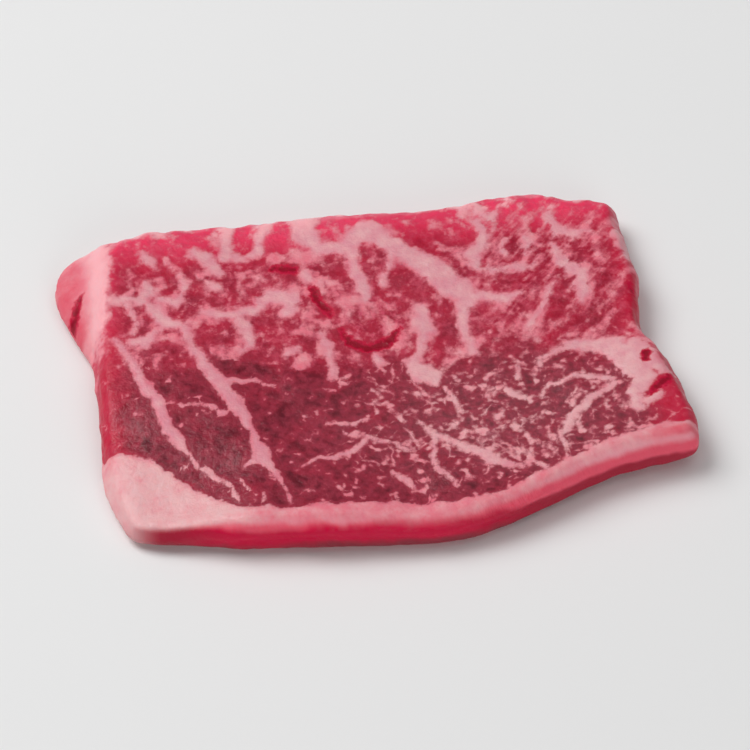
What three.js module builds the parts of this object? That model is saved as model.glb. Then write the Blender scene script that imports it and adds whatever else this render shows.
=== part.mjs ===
// One slice of raw beef chuck, cut about as thick as a pencil for grilling at the table.
// It is one piece of meat: lean muscle with fat grown through it, a soft rim of fat along the front edge
// and a wedge of fat on the left end that the knife crossed at a slant.
// The slice lies flat as it would on a tray. X runs along its length, Y towards its back edge, Z up,
// and the origin is under the middle of its bounding box. Sizes are in millimetres.
import * as THREE from "three";
import { mergeVertices } from "three/addons/utils/BufferGeometryUtils.js";

// Driving sizes.
const LENGTH = 80;
const DEPTH = 54;
const THICKNESS = 5.6;

// The cut edges seen from above, as shares of the length and of the depth from the middle of the slice.
const BACK_LEFT = [-0.423, 0.487];
const BACK_RIGHT = [0.43, 0.435];
const FRONT_RIGHT = [0.5, -0.364];
const FRONT_LEFT = [-0.468, -0.43];
const BACK_EDGE = [
  BACK_LEFT,
  [-0.275, 0.5],
  [-0.105, 0.491],
  [0.035, 0.487],
  [0.14, 0.479],
  [0.24, 0.502],
  [0.33, 0.487],
  [0.383, 0.468],
  BACK_RIGHT,
];
const RIGHT_EDGE = [
  FRONT_RIGHT,
  [0.483, -0.245],
  [0.457, -0.095],
  [0.427, 0.045],
  [0.437, 0.18],
  [0.427, 0.32],
  BACK_RIGHT,
];
const FRONT_EDGE = [
  FRONT_LEFT,
  [-0.355, -0.45],
  [-0.195, -0.478],
  [-0.033, -0.504],
  [0.047, -0.513],
  [0.13, -0.49],
  [0.22, -0.442],
  [0.307, -0.388],
  [0.395, -0.358],
  FRONT_RIGHT,
];
const LEFT_EDGE = [
  FRONT_LEFT,
  [-0.485, -0.26],
  [-0.478, -0.06],
  [-0.47, 0.12],
  [-0.447, 0.36],
  BACK_LEFT,
];

// How the edges and corners are rounded. The wall swells a little between its two rounded edges.
const TOP_ROUND = 1.3;
const BOTTOM_ROUND = 0.9;
const WALL_SWELL = 0.45;
// How far a corner is drawn in, as a share of each half side, and how tightly the rounding keeps to it.
const CORNER_DRAWN_IN = 0.035;
const CORNER_TIGHTNESS = 9;
// The front wall is a roll of fat over a sunken line of membrane, with a thin lip of fat under it. They grow
// out of the fat wedge on the left, and die away in the tip on the right.
const FAT_ROLL = { stands: 0.95, middle: 0.74, half: 0.4 };
const FAT_LIP = { stands: 1, middle: 0.12, half: 0.34 };
const RIM_FROM = 0.1;
const RIM_END = 0.07;
// On the left end, near the back, the knife went through the fat at a slant, so its foot stands out.
const SLANT_FOOT = 7.2;
const SLANT_MIDDLE = 0.93;
const SLANT_SPAN = 0.4;
const SLANT_REACH = 16;

// The front left corner is a thin wedge of fat.
const WEDGE_THINNING = 2.3;
const WEDGE_REACH = 24;
// The rim of fat stands a little higher than the lean behind it.
const RIM_HEIGHT = 0.45;
const RIM_WIDTH = 3.4;
// Two corners curl up off the tray, and the middle lies flat on it.
const TIP_LIFT = 0.9;
const TIP_REACH = 26;
const BACK_LIFT = 1.1;
const BACK_REACH = 22;

// Relief of the cut face, from its limp waves down to the crags of its muscle bundles: the most that each
// stands up or sinks in, and how wide its lumps are.
const FACE_RELIEF = [
  { height: 0.55, width: 21 },
  { height: 0.3, width: 9 },
  { height: 0.26, width: 4 },
];
// The back and right edges were cut across the bundles, so they are ragged.
const RAGGED = [
  { height: 0.5, width: 6.5 },
  { height: 0.45, width: 2.9 },
];
const RAGGED_REACH = 5;

// Facets along the slice, across it and up its wall, and how much closer they lie at the edges.
const FACETS_ALONG = 52;
const FACETS_ACROSS = 36;
const FACETS_UP = 6;
const EDGE_CROWDING = 0.45;

const LEAN_COLOUR = 0xa63a50;
const RAW_MEAT_ROUGHNESS = 0.42;

const clamp01 = (t) => Math.min(1, Math.max(0, t));
const easeInOut = (t) => clamp01(t) ** 2 * (3 - 2 * clamp01(t));
const mix = (a, b, t) => a + (b - a) * t;

// A smooth curve through the points of one edge.
function edgeCurve(shares) {
  const points = shares.map(([x, y]) => new THREE.Vector3(x * LENGTH, y * DEPTH, 0));
  return new THREE.CatmullRomCurve3(points, false, "centripetal");
}

const backEdge = edgeCurve(BACK_EDGE);
const rightEdge = edgeCurve(RIGHT_EDGE);
const frontEdge = edgeCurve(FRONT_EDGE);
const leftEdge = edgeCurve(LEFT_EDGE);

// Where the share u of the length and v of the depth lies on the slice, seen from above: a patch of cloth
// pulled between the four edges.
function acrossSlice(u, v) {
  const front = frontEdge.getPointAt(u);
  const back = backEdge.getPointAt(u);
  const left = leftEdge.getPointAt(v);
  const right = rightEdge.getPointAt(v);
  const corners = new THREE.Vector3()
    .addScaledVector(frontEdge.getPointAt(0), (1 - u) * (1 - v))
    .addScaledVector(frontEdge.getPointAt(1), u * (1 - v))
    .addScaledVector(backEdge.getPointAt(0), (1 - u) * v)
    .addScaledVector(backEdge.getPointAt(1), u * v);
  return new THREE.Vector3()
    .addScaledVector(front, 1 - v)
    .addScaledVector(back, v)
    .addScaledVector(left, 1 - u)
    .addScaledVector(right, u)
    .sub(corners);
}

// Moves shares of a side towards its two ends, so that the facets there are narrow enough for a round edge.
function crowdedToEnds(t) {
  return t - (EDGE_CROWDING * Math.sin(2 * Math.PI * t)) / (2 * Math.PI);
}

// A fixed number from -1 to 1 for each whole place on a lattice, with no pattern to it.
function latticeValue(i, j) {
  const mixed = Math.sin(i * 127.1 + j * 311.7) * 43758.5453;
  return 2 * (mixed - Math.floor(mixed)) - 1;
}

// Smooth lumps, each about one unit wide, from -1 to 1.
function lumps(x, y) {
  const i = Math.floor(x);
  const j = Math.floor(y);
  const s = easeInOut(x - i);
  const t = easeInOut(y - j);
  const near = mix(latticeValue(i, j), latticeValue(i + 1, j), s);
  const far = mix(latticeValue(i, j + 1), latticeValue(i + 1, j + 1), s);
  return mix(near, far, t);
}

// Several sizes of lumps on top of each other, each layer a few lumps along from the one before it, so that
// their lattices don't meet.
const LAYER_STEP = 7;
function reliefAt(layers, x, y) {
  const oneLayer = (layer, n) => layer.height * lumps(x / layer.width + LAYER_STEP * n, y / layer.width);
  return layers.reduce((sum, layer, n) => sum + oneLayer(layer, n), 0);
}

// How far a corner has curled up at a place on the slice.
function curlAt(x, y, corner, lift, reach) {
  const away = Math.hypot(x - corner[0] * LENGTH, y - corner[1] * DEPTH);
  return lift * easeInOut(1 - away / reach);
}

function undersideAt(x, y) {
  return curlAt(x, y, FRONT_RIGHT, TIP_LIFT, TIP_REACH) + curlAt(x, y, BACK_LEFT, BACK_LIFT, BACK_REACH);
}

function thicknessAt(x, y, fromFront) {
  const wedge = Math.hypot(x - FRONT_LEFT[0] * LENGTH, y - FRONT_LEFT[1] * DEPTH);
  const thinning = WEDGE_THINNING * easeInOut(1 - wedge / WEDGE_REACH);
  const rim = RIM_HEIGHT * easeInOut(1 - fromFront / RIM_WIDTH);
  return THICKNESS - thinning + rim + reliefAt(FACE_RELIEF, x, y);
}

// How much an edge of radius r has dropped at a distance d in from the wall.
function roundDrop(d, r) {
  return d >= r ? 0 : r - Math.sqrt(r * r - (r - d) ** 2);
}

function rollAt(roll, w) {
  return roll.stands * easeInOut(1 - Math.abs(w - roll.middle) / roll.half);
}

// How far the wall stands out at the share w of its height.
function wallSwell(w, onFront, u) {
  const swell = WALL_SWELL * Math.sin(Math.PI * w);
  if (!onFront) return swell;
  const rim = rollAt(FAT_ROLL, w) + rollAt(FAT_LIP, w);
  const grownOut = easeInOut((u - RIM_FROM) / RIM_FROM) * easeInOut((1 - u) / RIM_END);
  return mix(swell, rim, grownOut);
}

// Rounds a corner: the share t of one side is drawn towards the middle where the other side nears its end.
function cornerRounded(t, other) {
  const end = Math.abs(2 * other - 1);
  return 0.5 + (t - 0.5) * (1 - CORNER_DRAWN_IN * end ** CORNER_TIGHTNESS);
}

// The point of the slice for shares of its length, depth and thickness, each from 0 to 1.
function slicePoint(boxU, boxV, w) {
  const u = crowdedToEnds(boxU);
  const v = crowdedToEnds(boxV);
  const place = acrossSlice(cornerRounded(u, v), cornerRounded(v, u));
  const fromEdge = Math.min(u * LENGTH, (1 - u) * LENGTH, v * DEPTH, (1 - v) * DEPTH);

  const underside = undersideAt(place.x, place.y);
  const thickness = thicknessAt(place.x, place.y, v * DEPTH);
  const low = underside + roundDrop(fromEdge, BOTTOM_ROUND);
  const high = underside + thickness - roundDrop(fromEdge, TOP_ROUND);
  const height = mix(low, high, w);

  const outX = (boxU === 1 ? 1 : 0) - (boxU === 0 ? 1 : 0);
  const outY = (boxV === 1 ? 1 : 0) - (boxV === 0 ? 1 : 0);
  if (outX || outY) {
    const swell = wallSwell(w, outY < 0, u) / Math.hypot(outX, outY);
    place.x += outX * swell;
    place.y += outY * swell;
  }
  // The ragged edges fade out a few millimetres in from the wall.
  const nearBack = easeInOut(1 - ((1 - v) * DEPTH) / RAGGED_REACH);
  const nearRight = easeInOut(1 - ((1 - u) * LENGTH) / RAGGED_REACH);
  const torn = new THREE.Vector2(
    nearRight * reliefAt(RAGGED, place.y, height / 2),
    nearBack * reliefAt(RAGGED, place.x, height / 2),
  );
  place.x += torn.x;
  place.y += torn.y;

  const slant = easeInOut(1 - Math.abs(v - SLANT_MIDDLE) / SLANT_SPAN);
  const nearLeft = easeInOut(1 - (u * LENGTH) / SLANT_REACH);
  place.x -= SLANT_FOOT * slant * nearLeft * (1 - w);
  return place.setZ(height);
}

// A box of facets is bent into the slice, vertex by vertex.
function sliceGeometry() {
  const box = new THREE.BoxGeometry(1, 1, 1, FACETS_ALONG, FACETS_ACROSS, FACETS_UP);
  box.deleteAttribute("normal");
  box.deleteAttribute("uv");
  const geometry = mergeVertices(box, 1e-5);
  const position = geometry.getAttribute("position");
  for (let i = 0; i < position.count; i++) {
    const u = clamp01(position.getX(i) + 0.5);
    const v = clamp01(position.getY(i) + 0.5);
    const w = clamp01(position.getZ(i) + 0.5);
    const point = slicePoint(u, v, w);
    position.setXYZ(i, point.x, point.y, point.z);
  }
  return restedOnOrigin(geometry);
}

// Puts the middle of the bounding box over the origin, with the underside at height 0.
function restedOnOrigin(geometry) {
  geometry.computeBoundingBox();
  const { min, max } = geometry.boundingBox;
  geometry.translate(-(min.x + max.x) / 2, -(min.y + max.y) / 2, -min.z);
  geometry.computeVertexNormals();
  return geometry;
}

function beefSlice() {
  const rawMeat = new THREE.MeshStandardMaterial({
    color: LEAN_COLOUR,
    roughness: RAW_MEAT_ROUGHNESS,
    metalness: 0,
  });
  const mesh = new THREE.Mesh(sliceGeometry(), rawMeat);
  mesh.name = "beef_slice";
  return mesh;
}

const slice = new THREE.Group();
slice.add(beefSlice());

export default slice;
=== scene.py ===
# %% [markdown]
# # Dressing a slice of raw beef chuck
# The piece is one slice of raw beef, cut for grilling: lean muscle with fat grown through it. Its form comes
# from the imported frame. This lesson gives it the soft, moist, marbled surface of real meat.
# The frame is loaded first, and everything after it stays in the frame's own place and size, in metres.

# %% Load the frame
import math

import bpy
import numpy as np
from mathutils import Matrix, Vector, noise


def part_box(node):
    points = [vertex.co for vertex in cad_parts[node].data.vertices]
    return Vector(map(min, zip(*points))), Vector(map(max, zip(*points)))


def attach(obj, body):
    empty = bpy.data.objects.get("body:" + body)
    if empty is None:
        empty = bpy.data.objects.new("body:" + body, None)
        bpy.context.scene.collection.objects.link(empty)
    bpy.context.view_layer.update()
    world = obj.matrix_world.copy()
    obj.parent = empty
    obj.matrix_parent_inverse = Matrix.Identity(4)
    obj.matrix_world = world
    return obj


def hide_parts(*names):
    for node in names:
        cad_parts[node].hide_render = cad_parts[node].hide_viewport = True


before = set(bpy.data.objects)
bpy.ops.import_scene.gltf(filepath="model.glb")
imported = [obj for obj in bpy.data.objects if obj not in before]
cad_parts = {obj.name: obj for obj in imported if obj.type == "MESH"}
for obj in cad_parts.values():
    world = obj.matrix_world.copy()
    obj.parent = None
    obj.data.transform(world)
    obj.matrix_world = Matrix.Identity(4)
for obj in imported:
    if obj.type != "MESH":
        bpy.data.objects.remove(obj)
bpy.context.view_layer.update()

MM = 0.001
slice_low, slice_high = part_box("beef_slice")
print("slice of", [round(side / MM, 1) for side in slice_high - slice_low], "mm")

# %% [markdown]
# ## Hands for the work
# By hand, one clicks on an object before one works on it, and the last step of a modifier is Apply. These two
# helpers do the same: the frame leaves its own pieces selected, so everything is let go of first.

# %% Selecting and applying
def take_up(piece):
    """Selects one object alone and makes it the active one."""
    bpy.ops.object.select_all(action="DESELECT")
    piece.select_set(True)
    bpy.context.view_layer.objects.active = piece


def add_modifier(piece, kind, **settings):
    """Adds a modifier with these settings and applies it."""
    take_up(piece)
    modifier = piece.modifiers.new(kind.title(), kind)
    for name, value in settings.items():
        setattr(modifier, name, value)
    bpy.ops.object.modifier_apply(modifier=modifier.name)


# %% [markdown]
# ## The camera
# The slice was photographed from in front and well above, with a long lens, so that its edges hardly run
# together. The camera stands a metre away. Its lens is worked out from the width that the picture takes in.

# %% Camera
ELEVATION = math.radians(50)
AZIMUTH = math.radians(-8)
CAMERA_DISTANCE = 1.0
SENSOR_WIDTH = 36
PICTURE_WIDTH = 99.3 * MM
AIM = Vector((0, 0, 3 * MM))


def stand_off(azimuth, elevation):
    """The direction from the slice towards something that stands round it."""
    level = math.cos(elevation)
    return Vector((math.sin(azimuth) * level, -math.cos(azimuth) * level, math.sin(elevation)))


camera_data = bpy.data.cameras.new("camera")
camera = bpy.data.objects.new("camera", camera_data)
bpy.context.collection.objects.link(camera)
towards_camera = stand_off(AZIMUTH, ELEVATION)
camera.location = AIM + CAMERA_DISTANCE * towards_camera
camera.rotation_mode = "QUATERNION"
camera.rotation_quaternion = (-towards_camera).to_track_quat("-Z", "Y")
camera_data.sensor_width = SENSOR_WIDTH
camera_data.lens = SENSOR_WIDTH * CAMERA_DISTANCE / PICTURE_WIDTH
camera_data.clip_start = 0.01
camera_data.clip_end = 20
bpy.context.scene.camera = camera
print("lens of", round(camera_data.lens), "mm")

# %% [markdown]
# ## Floor and light
# The meat is shown on a plain pale floor. In the photograph the light falls from behind and from the left, so
# the back edge and the left end are bright and the front edge is in shade. A big soft lamp stands there. Two
# weaker ones, above and in front, keep the shade from going black. Standard colours keep what is pale pale.

# %% Floor
FLOOR_SIZE = 6.0
FLOOR_PALE = 0.86


def plain_material(name, colour, roughness):
    material = bpy.data.materials.new(name)
    material.use_nodes = True
    shader = material.node_tree.nodes["Principled BSDF"]
    shader.inputs["Base Color"].default_value = (*colour, 1)
    shader.inputs["Roughness"].default_value = roughness
    return material


bpy.ops.object.select_all(action="DESELECT")
bpy.ops.mesh.primitive_plane_add(size=FLOOR_SIZE, location=(0, 0, 0))
floor = bpy.context.object
floor.name = "floor"
floor.data.materials.append(plain_material("pale_floor", (FLOOR_PALE,) * 3, 0.6))

# %% Light
bpy.context.scene.view_settings.view_transform = "Standard"


def soft_lamp(name, azimuth, elevation, distance, size, power):
    """A square lamp that shines on the slice from one side."""
    data = bpy.data.lights.new(name, "AREA")
    data.shape = "SQUARE"
    data.size = size
    data.energy = power
    lamp = bpy.data.objects.new(name, data)
    bpy.context.collection.objects.link(lamp)
    towards_lamp = stand_off(math.radians(azimuth), math.radians(elevation))
    lamp.location = AIM + distance * towards_lamp
    lamp.rotation_mode = "QUATERNION"
    lamp.rotation_quaternion = (-towards_lamp).to_track_quat("-Z", "Y")
    return lamp


soft_lamp("window", azimuth=-125, elevation=52, distance=1.1, size=0.7, power=8.8)
soft_lamp("ceiling", azimuth=100, elevation=78, distance=1.3, size=1.2, power=2.6)
soft_lamp("front_card", azimuth=14, elevation=20, distance=1.5, size=0.9, power=5.0)

world = bpy.data.worlds.new("room")
bpy.context.scene.world = world
world.use_nodes = True
world.node_tree.nodes["Background"].inputs["Color"].default_value = (1, 1, 1, 1)
world.node_tree.nodes["Background"].inputs["Strength"].default_value = 0.2

# %% [markdown]
# ## The blank
# A butcher's slice has no flat facet on it anywhere. The frame's solid is made of facets about a millimetre
# and a half wide, so a smoothed copy of it serves as a last, as for a shoe. A plain block is cut into a
# fine grid, shrunk onto the last like a wrapping, and then voxel remeshed into even small squares that can
# take the fine relief.

# %% A smooth last from the frame's solid
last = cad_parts["beef_slice"].copy()
last.data = last.data.copy()
last.name = "last"
bpy.context.collection.objects.link(last)
take_up(last)
bpy.ops.object.mode_set(mode="EDIT")
bpy.ops.mesh.select_all(action="SELECT")
bpy.ops.mesh.remove_doubles(threshold=0.001 * MM)
bpy.ops.object.mode_set(mode="OBJECT")
add_modifier(last, "SUBSURF", levels=1, render_levels=1)
add_modifier(last, "SMOOTH", factor=0.5, iterations=8)
print("the last has", len(last.data.vertices), "vertices")

# %% A block cut into a grid
BLOCK_MARGIN = 1 * MM
GRID = 0.9 * MM

bpy.ops.object.select_all(action="DESELECT")
block_size = slice_high - slice_low + Vector((BLOCK_MARGIN,) * 3)
bpy.ops.mesh.primitive_cube_add(size=1, location=(slice_low + slice_high) / 2, scale=block_size)
meat = bpy.context.object
meat.name = "marbled_beef"
bpy.ops.object.transform_apply(location=True, rotation=True, scale=True)


def cut_across(piece, axis, cuts):
    """Subdivides the edges that run along one axis, which cuts the block across it."""
    bpy.ops.object.mode_set(mode="EDIT")
    bpy.ops.mesh.select_mode(type="EDGE")
    bpy.ops.mesh.select_all(action="DESELECT")
    bpy.ops.object.mode_set(mode="OBJECT")
    for edge in piece.data.edges:
        start, end = (piece.data.vertices[i].co for i in edge.vertices)
        way = (end - start).normalized()
        edge.select = abs(way[axis]) > 0.99
    bpy.ops.object.mode_set(mode="EDIT")
    bpy.ops.mesh.subdivide(number_cuts=cuts)
    bpy.ops.object.mode_set(mode="OBJECT")


take_up(meat)
for axis in range(3):
    cut_across(meat, axis, int(block_size[axis] / GRID))
print("the block has", len(meat.data.polygons), "faces")

# %% Shrink it onto the last and remesh it
FINE = 0.35 * MM

add_modifier(meat, "SHRINKWRAP", target=last, wrap_method="NEAREST_SURFACEPOINT")
add_modifier(meat, "REMESH", mode="VOXEL", voxel_size=FINE)
add_modifier(meat, "SMOOTH", factor=0.5, iterations=2)
add_modifier(meat, "SHRINKWRAP", target=last, wrap_method="NEAREST_SURFACEPOINT")
add_modifier(meat, "SMOOTH", factor=0.5, iterations=12)
bpy.data.objects.remove(last)
print("the blank has", len(meat.data.vertices), "vertices")

# %% [markdown]
# ## Where everything grows
# Meat is a bundle of threads. Fat and muscle run through the slice along the grain, a little aslant, so a
# pattern on the top face comes out on the underside a little to one side, and shows as streaks on the cut
# edges. Every pattern below is drawn in two coordinates that follow the grain, in millimetres.

# %% Grain coordinates
TOP = 5.6
GRAIN_SLOPE = (0.32, -0.22)


def places(piece):
    """The piece's vertices in millimetres, one row each."""
    flat = np.empty(len(piece.data.vertices) * 3)
    piece.data.vertices.foreach_get("co", flat)
    return flat.reshape(-1, 3) / MM


def lumps(points, width, octaves=2, shift=0.0):
    """Smooth lumps from about -1 to 1, each about one width wide."""
    scaled = (points + shift) / width
    return np.array([noise.fractal(Vector(p), 1.0, 2.0, octaves) for p in scaled])


spots = places(meat)
x_mm, y_mm, z_mm = spots.T
grain_x = x_mm + GRAIN_SLOPE[0] * (z_mm - TOP)
grain_y = y_mm + GRAIN_SLOPE[1] * (z_mm - TOP)
WANDER = 0.5
wander_x = WANDER * lumps(spots, 2.2, 3, 11.0)
wander_y = WANDER * lumps(spots, 2.2, 3, 57.0)
draw_x, draw_y = grain_x + wander_x, grain_y + wander_y
print("grain coordinates for", len(spots), "vertices")

# %% [markdown]
# ## Fat drawn with a round brush
# The big seams and patches of fat are what one recognises the slice by. Each is a stroke: a few points with
# the half width of the brush at each. For every vertex the depth inside the nearest stroke is kept, positive
# in fat and negative in lean, so that the same drawing can raise the surface and colour it.

# %% Strokes of fat on the face
VEINS = {
    "left": [(-33.4, 8.5, 0.5), (-31.8, 4.0, 0.7), (-30.4, 0.0, 0.8), (-28.9, -4.5, 0.95),
             (-28.5, -7.6, 1.0), (-27.4, -9.4, 0.8), (-26.7, -11.0, 0.3), (-26.0, -12.6, 0.3),
             (-24.6, -14.4, 0.45), (-22.4, -17.0, 0.25), (-21.2, -19.4, 0.35), (-20.8, -20.6, 0.2)],
    "thread of the left": [(-20.2, -16.6, 0.15), (-19.7, -18.0, 0.25), (-19.2, -19.4, 0.15)],
    "middle": [(-24.4, 7.4, 0.4), (-22.6, 3.4, 0.8), (-20.6, -1.2, 1.2), (-18.8, -5.4, 1.0),
               (-17.9, -8.0, 0.85), (-17.4, -9.7, 0.45), (-17.2, -11.2, 0.75), (-16.8, -13.2, 1.25),
               (-16.7, -14.4, 1.15), (-15.6, -16.5, 0.5), (-14.9, -18.2, 0.45), (-14.3, -20.4, 0.3),
               (-13.6, -22.4, 0.2)],
    "tail of the middle": [(-17.4, -14.4, 0.6), (-18.9, -15.1, 0.25)],
    "foot of the middle": [(-17.5, -19.8, 0.15), (-17.7, -21.4, 0.25)],
    "twig of the middle": [(-20.0, -0.8, 0.5), (-16.3, -1.0, 0.35), (-13.8, -2.2, 0.2)],
    "twig between the two": [(-27.9, -3.4, 0.2), (-23.3, -4.1, 0.25), (-20.5, -6.0, 0.35)],
    "thread 1": [(-11.7, -16.4, 0.3), (-9.4, -15.2, 0.4), (-7.6, -15.4, 0.35), (-4.9, -14.4, 0.55),
                 (-3.4, -12.9, 0.3)],
    "thread 2": [(-5.7, -11.0, 0.25), (-2.6, -12.4, 0.35), (-0.7, -13.0, 0.4), (3.0, -15.3, 0.25)],
    "thread 3": [(4.3, -10.4, 0.3), (5.9, -12.8, 0.4), (9.6, -15.4, 0.6), (12.4, -17.6, 0.95),
                 (14.4, -18.8, 0.6), (16.8, -20.3, 0.3)],
    "thread 4": [(5.9, -13.0, 0.4), (5.2, -16.4, 0.4), (6.0, -19.4, 0.45), (7.6, -22.0, 0.3)],
    "thread 5": [(-0.6, -17.9, 0.35), (0.9, -19.6, 0.6), (2.1, -21.2, 0.45)],
    "thread 6": [(22.4, -15.4, 0.35), (22.9, -18.0, 0.35), (22.8, -20.0, 0.25)],
    "thread 7": [(17.6, -19.6, 0.3), (19.2, -20.6, 0.45), (20.0, -22.0, 0.25)],
    "thread 8": [(-8.0, -9.4, 0.2), (-5.0, -9.8, 0.35), (-2.0, -9.2, 0.2)],
    "fleck 1": [(8.6, -5.2, 0.4), (9.9, -8.7, 0.4)],
    "fleck 2": [(16.5, -6.5, 0.4), (17.6, -7.4, 0.75), (18.5, -8.4, 0.5)],
    "fleck 3": [(14.5, -11.3, 0.3), (15.3, -10.6, 0.45)],
    "fleck 4": [(18.6, -3.0, 0.35), (18.0, -4.9, 0.4)],
    "upper twig of the right": [(21.4, -3.8, 0.2), (21.5, -2.2, 0.35), (24.0, -0.9, 0.5),
                                (26.6, -0.2, 0.55)],
    "middle twig of the right": [(20.8, -8.0, 0.3), (22.4, -6.8, 0.45), (26.0, -6.0, 0.5),
                                 (30.5, -7.4, 0.55)],
    "lower twig of the right": [(30.8, -8.2, 0.5), (28.6, -9.5, 0.5), (26.2, -11.4, 0.6),
                                (24.0, -13.7, 0.65), (22.6, -16.0, 0.25)],
}
PATCHES = {
    "left web": [(-33.5, 14.8, 0.5), (-31.2, 14.6, 0.5), (-29.0, 14.3, 0.8), (-27.8, 15.8, 0.8),
                 (-28.1, 17.2, 0.4)],
    "left web below": [(-28.6, 14.0, 0.6), (-27.4, 12.2, 1.0), (-26.6, 10.4, 1.0), (-24.4, 9.7, 0.6),
                       (-24.2, 7.4, 0.5)],
    "left web right": [(-26.6, 14.2, 0.6), (-24.6, 13.6, 0.8), (-23.8, 15.0, 0.4), (-23.5, 17.0, 0.3)],
    "left web foot": [(-31.4, 7.4, 0.5), (-29.2, 7.3, 0.8), (-27.9, 8.8, 0.5)],
    "near the back": [(-21.4, 22.2, 0.6), (-19.9, 20.9, 1.0), (-18.9, 19.3, 1.1), (-18.2, 17.9, 0.4)],
    "back column": [(-16.5, 27.0, 0.8), (-16.8, 23.6, 0.8), (-17.2, 21.0, 0.8), (-14.8, 20.6, 0.3),
                    (-12.8, 21.6, 0.6), (-12.0, 24.5, 0.6), (-11.0, 26.4, 0.8)],
    "drop": [(-20.1, 16.4, 0.5), (-19.2, 15.6, 0.8)],
    "cloud": [(-13.8, 12.7, 0.8), (-12.0, 13.1, 1.1), (-9.8, 12.5, 1.5), (-9.9, 10.6, 1.3)],
    "pink in the corner": [(-28.2, 22.4, 0.4), (-27.1, 21.2, 0.5), (-26.8, 19.4, 0.3)],
    "corner of the back": [(-32.0, 26.6, 0.9), (-29.4, 26.2, 0.7), (-26.4, 26.0, 0.6),
                           (-24.9, 25.4, 0.4)],
    "between the smalls": [(-31.0, 13.6, 0.3), (-30.3, 12.0, 0.35), (-30.4, 10.4, 0.35),
                           (-31.3, 8.9, 0.3)],
    "loop": [(-21.6, 11.9, 0.4), (-19.6, 10.7, 0.6), (-17.2, 10.4, 0.6), (-16.2, 8.0, 0.75),
             (-15.9, 5.6, 0.7), (-17.0, 4.2, 0.4)],
    "loop to cloud": [(-17.2, 11.0, 0.5), (-14.6, 11.2, 0.6), (-13.0, 12.4, 0.5)],
    "under the loop": [(-11.4, 2.8, 0.4), (-10.4, 3.3, 0.6)],
    "arch": [(-6.2, 27.0, 1.4), (-6.3, 23.4, 1.6), (-4.6, 20.6, 1.2), (-1.2, 20.0, 1.2), (1.9, 22.8, 1.6),
             (4.2, 20.8, 1.4), (6.0, 18.4, 1.5), (8.2, 16.6, 1.5), (10.6, 14.0, 2.0), (13.0, 11.2, 2.1),
             (13.8, 9.6, 1.3), (12.6, 6.4, 0.9), (12.5, 3.2, 0.7), (13.2, 0.6, 0.6)],
    "arm of the arch": [(14.5, 10.0, 1.0), (16.6, 9.4, 0.8), (19.2, 8.6, 0.7), (21.5, 9.2, 0.4)],
    "divide in the face": [(5.2, 18.2, 0.6), (4.5, 16.4, 0.5), (3.5, 14.4, 0.4), (3.1, 12.8, 0.25)],
    "stem": [(-0.6, 19.0, 0.8), (-0.3, 15.6, 0.8), (0.4, 12.6, 1.0), (0.2, 10.8, 0.5)],
    "left of the stem": [(-6.9, 17.0, 0.6), (-6.7, 15.0, 0.7)],
    "curtain": [(-6.4, 6.0, 0.3), (-5.8, 4.0, 0.6), (-6.1, 1.6, 0.5), (-5.8, -1.6, 0.4)],
    "heart": [(7.3, 8.4, 0.9), (7.0, 6.6, 1.3), (7.4, 4.9, 1.2), (6.5, 3.0, 0.5), (6.3, 1.2, 0.5),
              (4.8, -0.4, 0.9), (5.8, -2.0, 1.5), (7.2, -3.4, 1.0)],
    "drop under the smile": [(0.2, 1.4, 0.5), (0.6, 0.4, 0.5)],
    "right of the arch": [(16.9, 22.8, 0.6), (17.9, 20.9, 0.9), (17.0, 18.6, 0.8), (15.4, 17.0, 0.9),
                          (15.8, 15.0, 0.8), (17.4, 13.4, 0.6), (21.0, 14.0, 0.6), (23.0, 14.4, 0.4)],
    "back right": [(13.6, 26.3, 0.6), (16.8, 25.6, 0.7), (18.6, 23.6, 0.9), (19.4, 21.6, 0.5)],
    "island right": [(20.1, 18.8, 0.5), (19.6, 17.4, 0.7)],
    "small right": [(22.8, 19.6, 0.6), (23.4, 18.4, 0.6), (22.5, 16.6, 0.3)],
    "hook": [(26.6, 22.6, 0.8), (27.0, 20.2, 0.9), (29.2, 19.4, 0.6), (31.4, 19.0, 0.4)],
    "tongue": [(26.2, 17.6, 0.5), (27.0, 14.8, 0.8), (28.2, 13.0, 1.3), (29.6, 11.6, 1.0),
               (29.3, 9.2, 0.8), (28.8, 6.8, 0.5)],
    "long streak": [(20.6, 3.4, 0.3), (21.9, 5.2, 0.4), (24.2, 7.8, 0.4), (26.8, 11.6, 0.4)],
    "right edge": [(34.9, 19.2, 0.4), (35.7, 16.4, 0.8), (36.0, 13.8, 0.4)],
    "right": [(26.0, -0.2, 0.6), (29.0, -0.6, 1.0), (31.4, -1.6, 1.5), (33.2, -3.4, 1.9),
              (34.0, -6.2, 1.9), (35.2, -8.0, 1.3), (33.0, -10.4, 0.7), (33.3, -12.6, 0.7)],
    "right rim": [(34.5, -1.6, 0.9), (36.6, -5.6, 1.0), (37.6, -7.6, 0.5)],
    "right foot": [(34.8, -12.4, 0.5), (36.4, -10.9, 0.5)],
}


def along_strokes(x, y, strokes):
    """How deep each place lies inside the nearest stroke, in millimetres."""
    deepest = np.full(len(x), -99.0)
    for stroke in strokes:
        for (ax, ay, ar), (bx, by, br) in zip(stroke, stroke[1:]):
            run_x, run_y = bx - ax, by - ay
            share = ((x - ax) * run_x + (y - ay) * run_y) / (run_x**2 + run_y**2)
            share = np.clip(share, 0, 1)
            away = np.hypot(x - ax - share * run_x, y - ay - share * run_y)
            deepest = np.maximum(deepest, ar + (br - ar) * share - away)
    return deepest


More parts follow.
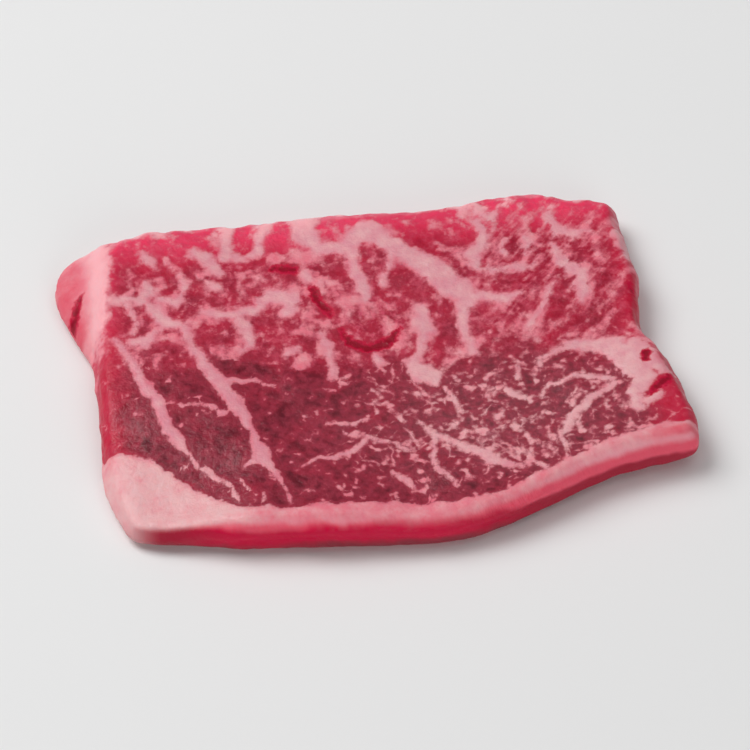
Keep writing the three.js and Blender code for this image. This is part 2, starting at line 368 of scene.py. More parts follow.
uneven = 0.3 * lumps(spots, 1.3, 2, 77.0)
vein_depth = along_strokes(draw_x, draw_y, VEINS.values()) + 0.5 * uneven
patch_depth = along_strokes(draw_x, draw_y, PATCHES.values()) + uneven + 0.25
drawn = np.maximum(vein_depth, patch_depth) > 0
print("drawn fat covers", round(float(drawn.mean()) * 100), "% of the surface")

# %% [markdown]
# ## Islands of lean
# Between the patches lie islands of lean, and they are drawn with the same brush. Inside an island there is
# no patch of fat, only the finest marbling. The red notches along the back edge are islands too.

# %% Islands of lean
ISLANDS = {
    "back left corner": [(-31.6, 25.0, 0.4), (-30.3, 23.2, 1.0), (-29.4, 21.4, 0.7), (-28.2, 20.2, 0.4)],
    "beside the corner": [(-27.9, 24.5, 0.6), (-25.6, 23.7, 1.0), (-23.8, 22.6, 0.9), (-23.0, 20.6, 0.8),
                          (-22.4, 18.6, 0.7), (-22.0, 16.2, 0.4), (-21.3, 14.4, 0.6)],
    "beside the corner, foot": [(-25.8, 21.6, 0.5), (-25.9, 20.3, 0.4)],
    "back 1": [(-22.8, 25.2, 0.4), (-20.8, 25.4, 0.8), (-18.8, 25.5, 0.6)],
    "back 1 foot": [(-20.7, 23.8, 0.2), (-19.4, 22.5, 0.5)],
    "back 2": [(-13.3, 26.6, 0.8), (-14.5, 24.6, 0.5), (-14.6, 22.9, 0.45)],
    "back 3": [(-9.0, 26.0, 0.7), (-9.1, 23.2, 0.7), (-10.5, 21.4, 0.8), (-11.6, 21.0, 0.4)],
    "back 4": [(-3.2, 26.0, 0.8), (-1.0, 25.0, 0.7), (-1.1, 22.9, 0.3)],
    "back 4 foot": [(-3.0, 23.2, 0.2), (-2.5, 22.0, 0.35)],
    "back 5": [(3.4, 25.5, 0.3), (5.6, 24.4, 0.9), (6.8, 22.6, 0.9), (6.6, 21.0, 0.4)],
    "back 5 right": [(8.6, 23.8, 0.5), (10.0, 24.4, 0.9), (12.2, 24.8, 1.1), (14.4, 23.4, 0.5),
                     (15.7, 21.8, 0.4), (15.7, 20.2, 0.3)],
    "back 6": [(18.8, 24.6, 0.4), (19.8, 25.6, 0.4)],
    "long streak of lean": [(16.6, 14.6, 0.3), (17.6, 17.0, 0.4), (18.9, 19.4, 0.4), (20.6, 22.0, 0.5),
                            (23.0, 23.4, 0.6), (26.4, 25.0, 0.8)],
    "streak to the back": [(21.3, 16.6, 0.3), (21.6, 18.4, 0.35), (21.6, 20.6, 0.4), (22.4, 22.4, 0.5)],
    "corner foot": [(24.6, 22.8, 0.5), (24.4, 20.6, 0.45)],
    "corner spot": [(28.6, 21.3, 0.5), (29.6, 21.6, 0.6)],
    "back right corner": [(27.6, 25.6, 0.5), (28.8, 24.8, 0.4), (29.9, 24.0, 0.4)],
    "right corner": [(30.9, 22.5, 0.5), (32.6, 23.2, 0.6), (34.0, 22.2, 0.5)],
    "right corner, foot": [(32.6, 20.9, 0.25), (31.8, 20.2, 0.2)],
    "right edge above": [(33.3, 18.6, 0.5), (34.8, 20.2, 0.4)],
    "left": [(-31.7, 18.2, 0.4), (-31.1, 16.8, 0.9), (-31.9, 15.4, 0.3)],
    "left thread": [(-29.5, 18.0, 0.3), (-29.5, 16.4, 0.4), (-29.8, 15.2, 0.3)],
    "left of middle": [(-27.8, 18.5, 0.4), (-25.3, 18.7, 0.8), (-24.9, 16.8, 0.8), (-26.0, 15.2, 0.7)],
    "middle": [(-19.4, 13.2, 0.9), (-17.6, 12.6, 0.9), (-16.7, 14.2, 0.7), (-16.7, 16.6, 0.6),
               (-16.4, 18.6, 0.5), (-13.8, 18.6, 0.6)],
    "middle spot": [(-14.7, 14.4, 0.4), (-14.0, 13.5, 0.4)],
    "right of middle": [(-13.6, 15.8, 0.4), (-12.2, 15.2, 0.5), (-10.8, 15.5, 0.5), (-8.8, 15.4, 0.4)],
    "small 1": [(-32.6, 12.6, 0.5), (-31.3, 11.4, 0.5), (-32.4, 9.9, 0.4)],
    "small 2": [(-29.1, 12.9, 0.5), (-28.5, 11.2, 0.5), (-29.3, 9.5, 0.5)],
    "small 3": [(-25.4, 12.5, 0.4), (-23.5, 11.6, 0.5)],
    "inside the loop": [(-22.3, 8.0, 0.5), (-21.0, 9.4, 0.7), (-19.0, 8.9, 0.5), (-18.1, 6.6, 0.6),
                        (-20.2, 5.6, 0.8)],
    "between the veins": [(-30.2, 5.0, 0.6), (-27.4, 6.4, 0.9), (-25.6, 5.6, 1.0), (-27.0, 3.2, 1.4)],
    "under the cloud": [(-14.6, 9.6, 0.6), (-12.8, 9.4, 0.8), (-12.4, 7.0, 1.0), (-13.8, 5.0, 0.9),
                        (-9.4, 5.0, 1.1)],
    "left of the slit": [(-8.3, 11.2, 0.4), (-7.8, 10.0, 0.3)],
    "face 1": [(-6.3, 17.7, 0.5), (-5.3, 16.9, 0.7), (-4.5, 15.6, 0.35)],
    "face 2": [(-2.2, 17.0, 0.6), (-2.1, 15.6, 0.3), (-2.3, 14.2, 0.4)],
    "face 3 left": [(2.3, 19.4, 0.4), (1.3, 17.4, 0.35), (1.5, 15.6, 0.3), (2.4, 13.8, 0.35)],
    "face 3 right": [(2.8, 19.2, 0.4), (3.5, 17.2, 0.35), (3.4, 15.8, 0.3)],
    "face 4": [(5.7, 15.4, 0.6), (7.0, 13.6, 0.6), (6.6, 11.8, 0.6), (5.2, 10.3, 0.6), (2.8, 10.8, 0.7)],
    "face 4 left": [(5.2, 14.6, 0.4), (4.2, 12.8, 0.35), (3.4, 11.6, 0.4)],
    "inside the arch": [(9.9, 21.8, 0.4), (11.4, 20.9, 1.1), (12.9, 19.2, 0.7), (12.7, 21.6, 0.4)],
    "inside the arch, left": [(9.3, 18.9, 0.35), (10.5, 17.5, 0.6), (12.6, 17.0, 0.5), (13.0, 15.2, 0.5),
                              (13.6, 13.7, 0.5), (14.8, 13.4, 0.5)],
    "right of the heart": [(8.3, 10.8, 0.7), (9.1, 8.8, 0.6), (10.0, 6.8, 0.5), (10.1, 4.8, 0.5),
                           (8.8, 2.8, 0.8), (8.8, 0.8, 0.9), (7.8, -0.8, 0.6)],
    "under the arm": [(14.6, 7.0, 0.8), (15.8, 6.8, 0.5)],
    "streak 1": [(14.8, 3.8, 0.5), (16.8, 4.8, 0.4), (19.0, 6.2, 0.4)],
    "streak 2": [(14.9, 1.1, 0.6), (16.3, 1.8, 0.5)],
    "streak 3": [(22.8, 1.2, 0.8), (25.2, 2.2, 0.8), (28.0, 3.6, 0.7), (29.8, 5.6, 0.7), (31.4, 8.2, 0.6),
                 (32.4, 10.4, 0.5)],
    "streak 4": [(26.2, 6.4, 0.8), (27.3, 8.8, 0.5), (26.8, 10.8, 0.4)],
    "streak 5": [(15.9, 11.3, 0.4), (16.6, 13.2, 0.3)],
    "streak 6": [(18.9, 15.5, 0.4), (18.2, 16.3, 0.2)],
    "above the arm": [(19.0, 12.4, 0.4), (20.8, 11.3, 0.8), (22.8, 10.4, 0.5), (24.0, 11.8, 0.5),
                      (25.2, 13.6, 0.4)],
    "beside the hook": [(22.7, 15.0, 0.3), (24.3, 16.6, 0.7), (25.6, 17.2, 0.3)],
    "behind the tongue": [(28.3, 17.8, 0.6), (30.3, 16.3, 0.8), (30.8, 14.4, 0.4), (32.2, 12.4, 0.8),
                          (34.2, 11.6, 0.8)],
    "right edge": [(32.2, 3.6, 0.7), (33.2, 1.6, 0.8), (34.2, 0.6, 0.7)],
    "notch of the right": [(31.4, -8.4, 0.4), (32.5, -7.6, 0.5)],
    "upper spot of the right": [(28.3, -2.9, 0.5), (27.6, -2.2, 0.3)],
}
island_depth = along_strokes(draw_x, draw_y, ISLANDS.values()) + uneven
print(len(ISLANDS), "islands of lean")

# %% [markdown]
# ## The rim of fat
# Along the front edge and on the left end the slice ends in fat. A line says where the lean stops, and all
# that lies beyond the line is fat.

# %% The edge of the lean
LEAN_FRONT = [(-48, -7.5), (-38.5, -8.8), (-36.0, -9.4), (-31.5, -11.2), (-28.0, -15.5), (-24.0, -19.2),
              (-20.4, -21.8), (-13.3, -23.2), (-6.8, -23.3), (-0.3, -23.6), (6.1, -24.5), (12.7, -24.2),
              (19.8, -21.6), (26.9, -18.7), (33.9, -16.6), (38.6, -16.0), (48, -15.0)]
LEAN_LEFT = [(-48, 3.6), (-38.6, 4.6), (-36.0, 7.6), (-33.9, 12.0), (-32.9, 18.0), (-32.5, 24.5),
             (-32.4, 27.0), (-36, 34)]


def beyond_line(x, y, line):
    """Distance past a line, in millimetres. The right-hand side, walking along the line, is beyond."""
    nearest = np.full(len(x), 99.0)
    side = np.zeros(len(x))
    for (ax, ay), (bx, by) in zip(line, line[1:]):
        run_x, run_y = bx - ax, by - ay
        share = np.clip(((x - ax) * run_x + (y - ay) * run_y) / (run_x**2 + run_y**2), 0, 1)
        off_x, off_y = x - ax - share * run_x, y - ay - share * run_y
        away = np.hypot(off_x, off_y)
        closer = away < nearest
        nearest = np.where(closer, away, nearest)
        side = np.where(closer, np.sign(run_y * off_x - run_x * off_y), side)
    return nearest * side


rim_depth = beyond_line(draw_x, draw_y, LEAN_FRONT)
end_depth = -beyond_line(x_mm + wander_x, y_mm + wander_y, LEAN_LEFT)
print("rim", round(float(rim_depth.max()), 1), "mm deep")
print("left end", round(float(end_depth.max()), 1), "mm deep")

# %% [markdown]
# ## Marbling between the strokes
# Between the drawn strokes the fat lies in blotches of noise: dense in the upper half, which is another
# muscle, and sparse in the lower. In the far right corner the blotches are drawn out into slanting streaks.

# %% Two helpers for soft borders
def soft_spot(x, y, middle, radii):
    """1 in the middle of an oval, fading to 0 at its rim."""
    off = np.hypot((x - middle[0]) / radii[0], (y - middle[1]) / radii[1])
    return np.clip(1 - off, 0, 1) ** 2 * (3 - 2 * np.clip(1 - off, 0, 1))


def ramp(value, start, end):
    """Rises smoothly from 0 at start to 1 at end."""
    share = np.clip((value - start) / (end - start), 0, 1)
    return share**2 * (3 - 2 * share)


# %% How much marbling there is from place to place
upper_edge = 0.5 - 0.1 * draw_x + 2.5 * lumps(spots, 7.0, 2, 5.0)
upper_half = ramp(draw_y, upper_edge - 2.5, upper_edge + 2.5)
patchy = lumps(spots, 8.0, 2, 23.0)
marbling = 0.14 + 0.54 * upper_half + 0.12 * patchy
far_corner = ramp(draw_x, 12, 22) * ramp(draw_y, -2, 6)

STREAK_WIDE = 1.5
STREAK_LONG = 4.2
STREAK_TURN = math.radians(48)
turned_x = math.cos(STREAK_TURN) * draw_x + math.sin(STREAK_TURN) * draw_y
turned_y = -math.sin(STREAK_TURN) * draw_x + math.cos(STREAK_TURN) * draw_y
along_streak = turned_x * STREAK_WIDE / STREAK_LONG
streaks = lumps(np.column_stack((along_streak, turned_y, 0.2 * z_mm)), STREAK_WIDE, 2, 31.0)
blotches = lumps(np.column_stack((draw_x, draw_y, 0.35 * z_mm)), 2.3, 3, 41.0)
mixed = blotches + (streaks - blotches) * far_corner
blotch_depth = 1.1 * (mixed - 0.95 + 1.25 * marbling)
blotch_depth = np.where(marbling > 0.3, blotch_depth, blotch_depth - 1)
fat_depth = np.maximum(blotch_depth, patch_depth)
fat_depth = np.minimum(fat_depth, -island_depth)
fat_depth = np.maximum.reduce([fat_depth, vein_depth, rim_depth, end_depth])
print("fat covers", round(float((fat_depth > 0).mean()) * 100), "% of the surface")

# %% [markdown]
# ## Small slits
# The knife left a few short cuts in the face, red inside and darkened towards the core by painted shade, and
# the edge at the right has two holes.

# %% Slits
SLITS = [
    [(-3.8, 6.4, 0.2), (-2.8, 4.1, 0.6), (-0.6, 2.9, 0.75), (1.6, 3.3, 0.7), (3.2, 4.1, 0.6),
     (4.1, 5.8, 0.2)],
    [(-6.5, 13.4, 0.5), (-5.8, 11.2, 0.65), (-4.9, 8.9, 0.45)],
    [(-11.2, 17.8, 0.45), (-9.9, 17.5, 0.7), (-8.6, 17.1, 0.5)],
    [(38.0, -8.3, 0.5), (36.8, -9.2, 0.55), (35.6, -10.2, 0.5), (34.9, -11.2, 0.1)],
    [(35.6, -3.9, 0.6), (35.5, -4.7, 0.65)],
    [(35.3, 8.9, 0.2), (35.6, 7.6, 0.3)],
    [(-36.9, 18.2, 0.2), (-37.9, 16.6, 0.5), (-38.7, 14.2, 0.55), (-39.1, 11.6, 0.3)],
]
slit_depth = along_strokes(x_mm + 0.6 * wander_x, y_mm + 0.6 * wander_y, SLITS)
slit_depth = np.where(z_mm > 1.5, slit_depth, -9.0)
print(len(SLITS), "slits")

# %% [markdown]
# ## Relief
# The same drawings now move the surface. Fat stands a little proud of the lean, slits are carved, and soft
# lumps of three sizes run over everything, as in any limp cut. The back edge is crumblier than the rest. Each
# vertex moves along its own normal.

# %% Move the surface
FAT_PROUD = 0.1
SLIT_SINKS = 0.1
RIDGE_RISES = 0.38
RIDGE_IN = 1.5
RIDGE_HALF = 1.5
FACE_LUMPS = ((0.16, 5.5), (0.07, 2.3), (0.03, 1.0))
CRUMBLE = ((0.32, 2.6), (0.16, 1.2))
BACK_LINE = 22.5
WALL_CREASES = ((0.22, 1.6), (0.1, 0.7))

normals = np.empty(len(spots) * 3)
meat.data.vertices.foreach_get("normal", normals)
normals = normals.reshape(-1, 3)

rise = FAT_PROUD * ramp(fat_depth, -0.3, 0.6)
rise -= SLIT_SINKS * ramp(slit_depth, -0.3, 0.4)
rise += RIDGE_RISES * np.exp(-((end_depth - RIDGE_IN) / RIDGE_HALF) ** 2) * ramp(z_mm, 3.0, 5.0)
for height, width in FACE_LUMPS:
    rise += height * lumps(spots, width, 1, 31 * width)
crumbly = ramp(y_mm, BACK_LINE, BACK_LINE + 4)
for height, width in CRUMBLE:
    rise += crumbly * height * lumps(spots, width, 1, 71 * width)
on_wall = 1 - ramp(np.abs(normals[:, 2]), 0.35, 0.8)
for height, width in WALL_CREASES:
    lying = np.column_stack((0.25 * x_mm, 0.25 * y_mm, z_mm))
    rise += on_wall * height * lumps(lying, width, 2, 53 * width)
underside = ramp(-normals[:, 2], 0.3, 0.8)
rise *= 1 - 0.85 * underside

moved = (spots + normals * rise[:, None]) * MM
moved[:, 2] = np.maximum(moved[:, 2], 0)
meat.data.vertices.foreach_set("co", moved.ravel())
meat.data.update()
take_up(meat)
bpy.ops.object.shade_smooth()
print("relief from", round(float(rise.min()), 2), "to", round(float(rise.max()), 2), "mm")

# %% [markdown]
# ## What the colours need to know
# Colour follows the same drawing as the relief, and it changes from area to area. Both could be painted by
# hand in texture paint mode, but then they would no longer follow the strokes. So they are stored on the
# mesh as attributes, one number for each vertex, and the material reads them. They stay with the surface
# wherever it goes.

# %% A helper that stores an attribute
def store(piece, name, values):
    attribute = piece.data.attributes.new(name, "FLOAT", "POINT")
    attribute.data.foreach_set("value", np.ascontiguousarray(values, dtype=np.float32))


# %% [markdown]
# ## Areas of lean
# Freshly cut lean turns bright red in the air, first along the edges; the brighter red towards the edges is
# partly that and partly painted light. Lean with much fine marbling looks browner. Along the back edge a pink
# glow is painted where the light shines into the meat, the same painted glow lies on the crest of the left
# end, and the rim of the back edge gets a painted highlight. How soft the borders of the fat are, how milky
# the lean is and how much fine marbling it has also differ between the two muscles.

# %% Store the areas of lean
CREST_HALF = 1.8

near_back = ramp(y_mm, 17.0, 25.0)
near_left = ramp(-x_mm, 31.0, 37.0)
near_right = ramp(x_mm, 32.0, 38.0)
# Brighter red towards the edges: partly the bloom of fresh lean and partly painted light.
fresh_and_lit = 0.17 + 0.33 * upper_half + 0.6 * near_back + 0.7 * near_left + 0.8 * near_right
brown = soft_spot(x_mm, y_mm, (17, -11), (36, 18))
milky_spot = 0.7 * soft_spot(x_mm, y_mm, (0.5, 7.5), (7, 6))
fine = 0.2 + 0.44 * ramp(x_mm, -16, 4) * (1 - upper_half) - 0.15 * upper_half
# The crest of the left end, where it catches the light, gets a painted highlight.
on_crest = np.exp(-((end_depth - RIDGE_IN) / CREST_HALF) ** 2) * ramp(y_mm, 2, 8)
# Painted light: a pink glow along the back edge, where the light shines into the meat.
painted_light_pink = ramp(y_mm + 1.2 * patchy, 19.0, 25.0)
# A painted highlight on the rim of the back edge, where it faces back and up towards the light.
painted_rim_highlight = ramp(normals[:, 1], 0.08, 0.45) * ramp(normals[:, 2], 0.3, 0.7) * ramp(y_mm, 20, 24)
painted_rim_highlight *= ramp(lumps(spots, 3.0, 2, 13.0), -0.35, 0.25)

store(meat, "fat_depth", fat_depth)
store(meat, "soft", 0.16 + 0.18 * upper_half + 0.2 * brown + 0.16 * far_corner)
store(meat, "hazy", 0.05 + 0.27 * upper_half + 0.14 * brown + milky_spot)
store(meat, "fine", fine)
store(meat, "streaky", far_corner)
store(meat, "fresh_and_lit", np.clip(fresh_and_lit, 0, 1))
store(meat, "brown", brown)
store(meat, "painted_light_pink", np.maximum(painted_light_pink, on_crest))
store(meat, "painted_rim_highlight", 0.85 * painted_rim_highlight)
print("fresh lean on average", round(float(np.clip(fresh_and_lit, 0, 1).mean()), 2))

# %% [markdown]
# ## Areas of fat
# The wedge in the lower left corner is the palest fat. Drawn seams are a little mauve, because lean shines
# through them. The back edge and the crest of the left end catch the light, and the fat on the slope of the
# left end and at the right tip is flushed with blood.

# %% Store the areas of fat
wedge = soft_spot(x_mm, y_mm, (-33, -20), (22, 14))
pale = 0.3 + 0.5 * np.clip(2 * wedge, 0, 1) + 0.15 * ramp(patch_depth, 0, 1) + 0.4 * brown
mauve = ramp(patch_depth, -0.5, 1.0) + ramp(vein_depth, -0.2, 0.5)
flushed_left = ramp(-x_mm, 35.5, 38.0) * ramp(y_mm, -4, 2)
flushed_right = ramp(x_mm, 31, 38) * ramp(rim_depth, 0.3, 1.2)

store(meat, "pale", np.clip(pale, 0, 1))
store(meat, "mauve", np.clip(mauve, 0, 1))
store(meat, "lit", np.maximum(ramp(y_mm, 22.5, 26.5), on_crest))
store(meat, "flushed", np.maximum(flushed_left, flushed_right))
print("pale fat on average", round(float(np.clip(pale, 0, 1).mean()), 2))

# %% [markdown]
# ## The front wall
# The cut front edge has three bands one above the other: the pale rim of fat at the top, deep red meat
# under it, and a brownish lip at the bottom. The bands follow the height on the wall, which is shifted
# along the slice, because they rise and fall there.

# %% Store the front wall and the slits
tipped = 1 - ramp(np.abs(normals[:, 2]), 0.6, 0.93)
front_wall = tipped * ramp(-normals[:, 1], 0.1, 0.5) * ramp(-y_mm, 8, 11) * ramp(x_mm, -37, -31)
wall_height = z_mm + 1.5 * ramp(x_mm, 6, 24) + 0.7 * ramp(-x_mm, 9, 20)

store(meat, "front_wall", front_wall)
store(meat, "wall_height", wall_height)
store(meat, "hot", ramp(x_mm, -31, -22) * (1 - ramp(x_mm, 4, 22)))
store(meat, "slit_depth", np.clip(slit_depth, -2, 2))
print("attributes:", [a.name for a in meat.data.attributes if a.data_type == "FLOAT"])

# %% [markdown]
# ## The finish of raw beef
# Lean and fat could be two materials on two sets of faces, but their borders would then follow the mesh.
# One material with a mask between two colours keeps the borders as fine as the picture needs. A few helpers
# make its nodes short to write. Colours are given as they look on a screen and turned into light.

# %% Helpers for nodes
def from_srgb(red, green, blue):
    """A colour as seen on a screen, from 0 to 255, as the light it stands for."""
    shares = [value / 255 for value in (red, green, blue)]
    return tuple(s / 12.92 if s <= 0.04045 else ((s + 0.055) / 1.055) ** 2.4 for s in shares)


beef = bpy.data.materials.new("raw_beef")
beef.use_nodes = True
tree = beef.node_tree
shader = tree.nodes["Principled BSDF"]


def node(kind, inputs=None, **settings):
    """Adds a node. An input is a number, a colour, or another node's output."""
    made = tree.nodes.new(kind)
    for name, value in settings.items():
        setattr(made, name, value)
    for name, value in (inputs or {}).items():
        if isinstance(value, bpy.types.NodeSocket):
            tree.links.new(value, made.inputs[name])
        else:
            made.inputs[name].default_value = value
    return made


def math_node(operation, a, b=0.0, c=0.0):
    return node("ShaderNodeMath", {0: a, 1: b, 2: c}, operation=operation).outputs[0]


def vector_node(operation, a, b, c=(0, 0, 0)):
    return node("ShaderNodeVectorMath", {0: a, 1: b, 2: c}, operation=operation).outputs[0]


def stored(name):
    return node("ShaderNodeAttribute", attribute_name=name).outputs["Fac"]


def rise_between(value, start, end):
    """0 below start and 1 above end, smooth between them."""
    inputs = {"Value": value, "From Min": start, "From Max": end}
    return node("ShaderNodeMapRange", inputs, interpolation_type="SMOOTHSTEP").outputs["Result"]


def blend(share, a, b):
    """Mixes two colours."""
    mixer = node("ShaderNodeMix", data_type="RGBA")
    for socket, value in zip((mixer.inputs[0], mixer.inputs[6], mixer.inputs[7]), (share, a, b)):
        if isinstance(value, bpy.types.NodeSocket):
            tree.links.new(value, socket)
        else:
            socket.default_value = (*value, 1) if isinstance(value, tuple) else value
    return mixer.outputs[2]


# %% Coordinates along the grain, in millimetres
GRAIN_STRETCH = 0.35

where = node("ShaderNodeTexCoord").outputs["Object"]
in_mm = vector_node("MULTIPLY", where, (1 / MM,) * 3)
parts = node("ShaderNodeSeparateXYZ", {0: in_mm})
grain = node("ShaderNodeCombineXYZ", {
    "X": math_node("MULTIPLY_ADD", parts.outputs["Z"], GRAIN_SLOPE[0], parts.outputs["X"]),
    "Y": math_node("MULTIPLY_ADD", parts.outputs["Z"], GRAIN_SLOPE[1], parts.outputs["Y"]),
    "Z": math_node("MULTIPLY", parts.outputs["Z"], GRAIN_STRETCH),
}).outputs[0]


def speckle(width, detail=2.0, roughness=0.55, place=grain):
    """Noise from 0 to 1 with lumps about one width wide, in millimetres."""
    inputs = {"Vector": place, "Scale": 1 / width, "Detail": detail, "Roughness": roughness}
    return node("ShaderNodeTexNoise", inputs)


def centred(noise_node, height):
    """Turns a noise from 0 to 1 into one from -height to height."""
    return math_node("MULTIPLY_ADD", noise_node.outputs["Fac"], 2 * height, -height)


print("the grain leans by", GRAIN_SLOPE, "mm for each mm of height")

# %% [markdown]
# ## Fine marbling
# Between the big seams, chuck has threads and specks of fat that are too fine for the mesh to hold.
# Thousands of strokes could draw them, but they follow no plan, so noise does it. The borders between
# warped cells make the threads, and the peaks of a soft noise make the specks. Both are depths in
# millimetres, like the drawing, so that the deeper of the two wins.

# %% Threads and specks
THREAD_GAP = 3.4
THREAD_WARP = 2.4
THREAD_HALF = 0.3
SPECK = 1.5

thread_warp = speckle(2.2, 1.5).outputs["Color"]
warped = vector_node("MULTIPLY_ADD", thread_warp, (THREAD_WARP,) * 3, grain)
cells = node("ShaderNodeTexVoronoi", {"Vector": warped, "Scale": 1 / THREAD_GAP}, feature="DISTANCE_TO_EDGE")
from_thread = math_node("MULTIPLY", cells.outputs["Distance"], THREAD_GAP)
thread_amount = math_node("ADD", stored("fine"), centred(speckle(2.6, 2.0), 2.0))
thread_half = math_node("MULTIPLY_ADD", thread_amount, 0.5, -0.45)
thread_half = math_node("MINIMUM", thread_half, THREAD_HALF)
thread_depth = math_node("SUBTRACT", thread_half, from_thread)

speck_level = math_node("MULTIPLY_ADD", stored("fine"), -0.26, 0.8)
above_level = math_node("SUBTRACT", speckle(SPECK, 1.0).outputs["Fac"], speck_level)
speck_depth = math_node("MULTIPLY", above_level, 3.0)
fine_depth = math_node("MAXIMUM", thread_depth, speck_depth)
depth = math_node("MAXIMUM", stored("fat_depth"), fine_depth)

# %% Slanting streaks in the far right corner
STREAK_WIDTH = 1.2
STREAK_DRAWN_OUT = 0.3

turn = {"Vector": grain, "Angle": -STREAK_TURN}
turned = node("ShaderNodeVectorRotate", turn, rotation_type="Z_AXIS").outputs[0]
drawn_out = vector_node("MULTIPLY", turned, (STREAK_DRAWN_OUT, 1, 1))
fine_streaks = centred(speckle(STREAK_WIDTH, 2.0, place=drawn_out), 1.3)
depth = math_node("MULTIPLY_ADD", fine_streaks, stored("streaky"), depth)

# %% The border between fat and lean, frayed and soft
FRAY_WIDTH = 0.8

soft = stored("soft")
fraying = math_node("MULTIPLY_ADD", soft, 1.2, 0.25)
frayed = math_node("MULTIPLY_ADD", centred(speckle(FRAY_WIDTH, 3.0), 1.0), fraying, depth)
is_fat = rise_between(frayed, math_node("MULTIPLY", soft, -1.0), soft)

# %% [markdown]
# ## Lean
# Lean is bundles of fibres cut across, each a little lighter or darker than the next. Cells of noise with
# soft borders stand for the bundles. Over them lie the change from tired to fresh red, which towards the
# edges is partly painted light, the painted pink glow of the back edge and the left crest, the painted
# highlight on the back rim, fat that glows through next to a border, and a milky haze.

# %% Colour of the lean
TIRED_RED = from_srgb(94, 12, 30)
TIRED_BROWN = from_srgb(100, 54, 60)
FRESH_AND_LIT_RED = from_srgb(198, 10, 54)
PAINTED_GLOW_PINK = from_srgb(255, 66, 108)
PAINTED_HIGHLIGHT_PINK = from_srgb(255, 138, 158)
BUNDLE_PINK = from_srgb(180, 60, 80)
NEXT_TO_FAT = from_srgb(214, 72, 98)
MILKY_PINK = from_srgb(222, 96, 120)
BUNDLE = 0.8
BUNDLE_WARP = 0.9

ruffle = speckle(1.0, 2.0).outputs["Color"]
ruffled = vector_node("MULTIPLY_ADD", ruffle, (BUNDLE_WARP,) * 3, grain)
bundles = node("ShaderNodeTexVoronoi", {"Vector": ruffled, "Scale": 1 / BUNDLE}, feature="SMOOTH_F1")
bundles.inputs["Smoothness"].default_value = 0.4
bundle_tone = node("ShaderNodeSeparateColor", {0: bundles.outputs["Color"]}).outputs[0]

# Fresh red, which towards the edges is partly painted light.
fresh_and_lit_share = math_node("ADD", stored("fresh_and_lit"), centred(speckle(3.0, 4.0, 0.6), 0.5))
tired = blend(stored("brown"), TIRED_RED, TIRED_BROWN)
lean = blend(rise_between(fresh_and_lit_share, 0.0, 1.0), tired, FRESH_AND_LIT_RED)
# Painted light: a pink glow along the back edge and on the crest of the left end.
lean = blend(math_node("MULTIPLY", stored("painted_light_pink"), 0.85), lean, PAINTED_GLOW_PINK)
# Painted highlight on the rim of the back edge.
lean = blend(stored("painted_rim_highlight"), lean, PAINTED_HIGHLIGHT_PINK)
lean = blend(math_node("MULTIPLY", bundle_tone, 0.28), lean, BUNDLE_PINK)

deep_in_lean = rise_between(math_node("MULTIPLY", frayed, -1.0), 0.0, 1.2)
near_fat = math_node("MULTIPLY_ADD", deep_in_lean, -0.3, 0.3)
lean = blend(near_fat, lean, NEXT_TO_FAT)
haze = rise_between(speckle(1.2, 3.0, 0.6).outputs["Fac"], 0.46, 0.68)
lean = blend(math_node("MULTIPLY", haze, stored("hazy")), lean, MILKY_PINK)

# %% [markdown]
# ## Fat
# Raw beef fat is creamy pink and never white. It is palest where it is thick, and where it is thin the red
# meat under it shows through, so its colour depends on its depth as well as on its area.

# %% Colour of the fat
WARM_FAT = from_srgb(234, 118, 136)
MAUVE_FAT = from_srgb(224, 138, 154)
PALE_FAT = from_srgb(238, 184, 186)
LIT_FAT = from_srgb(255, 180, 187)
THIN_FAT = from_srgb(214, 96, 118)
FLUSHED_FAT = from_srgb(226, 84, 104)

paleness = math_node("ADD", stored("pale"), centred(speckle(2.0, 4.0, 0.6), 0.6))
plain_fat = blend(stored("mauve"), WARM_FAT, MAUVE_FAT)
fat = blend(rise_between(paleness, 0.0, 1.0), plain_fat, PALE_FAT)
fat = blend(stored("lit"), fat, LIT_FAT)

shallow = math_node("SUBTRACT", 1.0, rise_between(frayed, 0.0, 0.7))
see_through = math_node("MULTIPLY_ADD", stored("brown"), -0.35, 0.4)
fat = blend(math_node("MULTIPLY", shallow, see_through), fat, THIN_FAT)
blotchy = math_node("ADD", 0.7, centred(speckle(2.4, 3.0), 0.8))
fat = blend(math_node("MULTIPLY", stored("flushed"), blotchy), fat, FLUSHED_FAT)
surface = blend(is_fat, lean, fat)

# %% Colour of the front wall
DEEP_RED = from_srgb(176, 34, 60)
HOT_RED = from_srgb(214, 0, 64)
LIP_BROWN = from_srgb(150, 52, 66)
WALL_PINK = from_srgb(244, 90, 114)
RIM_PINK = from_srgb(255, 176, 188)

wavy = centred(speckle(5.0, 3.0, 0.6), 0.8)
height = math_node("ADD", stored("wall_height"), wavy)
true_height = math_node("ADD", parts.outputs["Z"], wavy)
blood = blend(stored("hot"), DEEP_RED, HOT_RED)
wall = blend(rise_between(height, 1.5, 2.9), LIP_BROWN, blood)
wall = blend(rise_between(height, 4.5, 5.5), wall, WALL_PINK)
wall = blend(rise_between(true_height, 5.0, 6.0), wall, blend(0.7, fat, RIM_PINK))
surface = blend(stored("front_wall"), surface, wall)

# %% Colour of the slits
SLIT_BORDER = from_srgb(200, 10, 60)
SLIT_RED_AND_SHADE = from_srgb(146, 0, 34)

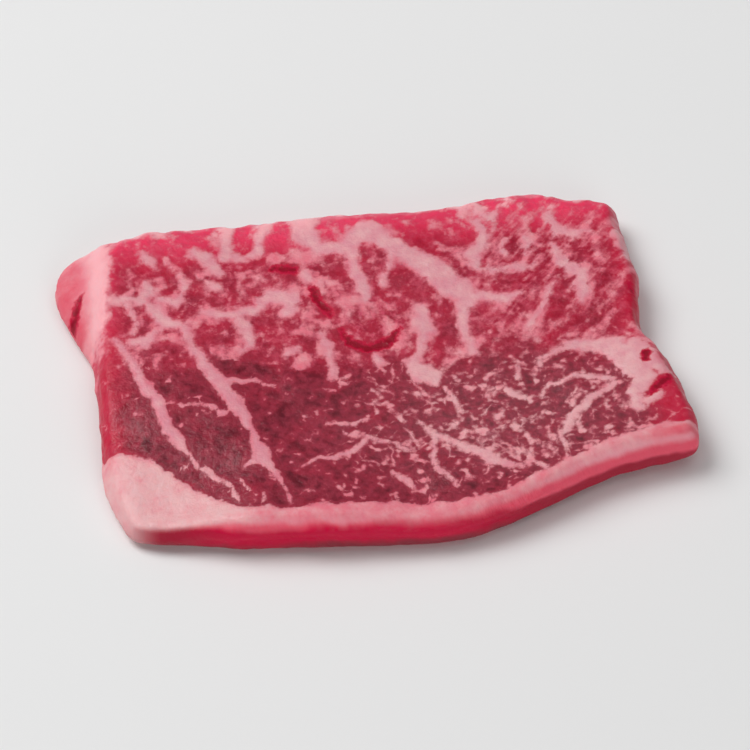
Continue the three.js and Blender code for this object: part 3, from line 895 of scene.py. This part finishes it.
slit = math_node("ADD", stored("slit_depth"), centred(speckle(0.7, 3.0), 0.6))
# The deeper core is darker: the red inside the cut with painted shade of the recess.
slit_red_and_shade = blend(rise_between(slit, -0.1, 0.5), SLIT_BORDER, SLIT_RED_AND_SHADE)
surface = blend(rise_between(slit, -0.35, 0.1), surface, slit_red_and_shade)
tree.links.new(surface, shader.inputs["Base Color"])

# %% [markdown]
# ## Gloss and fine relief
# Raw meat is moist: a thin film of water lies over a soft and slightly translucent body. A thin coat gives
# the film its sharp glints, the body under it stays fairly rough, and subsurface light softens it and turns
# it red. A bump finer than the mesh breaks the glints up along the bundles.

# %% Moist and soft
BODY_ROUGHNESS = 0.45
FILM = 0.2
FILM_ROUGHNESS = 0.15
GLOW = 0.3
GLOW_REACH = 0.9 * MM

roughness = math_node("MULTIPLY_ADD", is_fat, 0.05, BODY_ROUGHNESS)
roughness = math_node("ADD", roughness, centred(speckle(0.9), 0.15))
tree.links.new(roughness, shader.inputs["Roughness"])
shader.inputs["Specular IOR Level"].default_value = 0.12
shader.inputs["Coat Weight"].default_value = FILM
shader.inputs["Coat Roughness"].default_value = FILM_ROUGHNESS
shader.inputs["Subsurface Weight"].default_value = GLOW
shader.inputs["Subsurface Radius"].default_value = (1.0, 0.3, 0.25)
shader.inputs["Subsurface Scale"].default_value = GLOW_REACH

fine_height = math_node("MULTIPLY", is_fat, 0.03)
fine_height = math_node("ADD", fine_height, centred(speckle(0.6, 3.0, 0.6), 0.07))
fine_height = math_node("MULTIPLY_ADD", bundles.outputs["Distance"], -0.05, fine_height)
bump = node("ShaderNodeBump", {"Height": fine_height, "Distance": MM, "Strength": 0.8})
tree.links.new(bump.outputs["Normal"], shader.inputs["Normal"])
tree.links.new(bump.outputs["Normal"], shader.inputs["Coat Normal"])

meat.data.materials.clear()
meat.data.materials.append(beef)
print("the finish has", len(tree.nodes), "nodes")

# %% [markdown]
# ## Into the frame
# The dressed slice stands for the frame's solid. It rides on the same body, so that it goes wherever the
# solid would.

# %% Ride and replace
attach(meat, "root")
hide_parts("beef_slice")
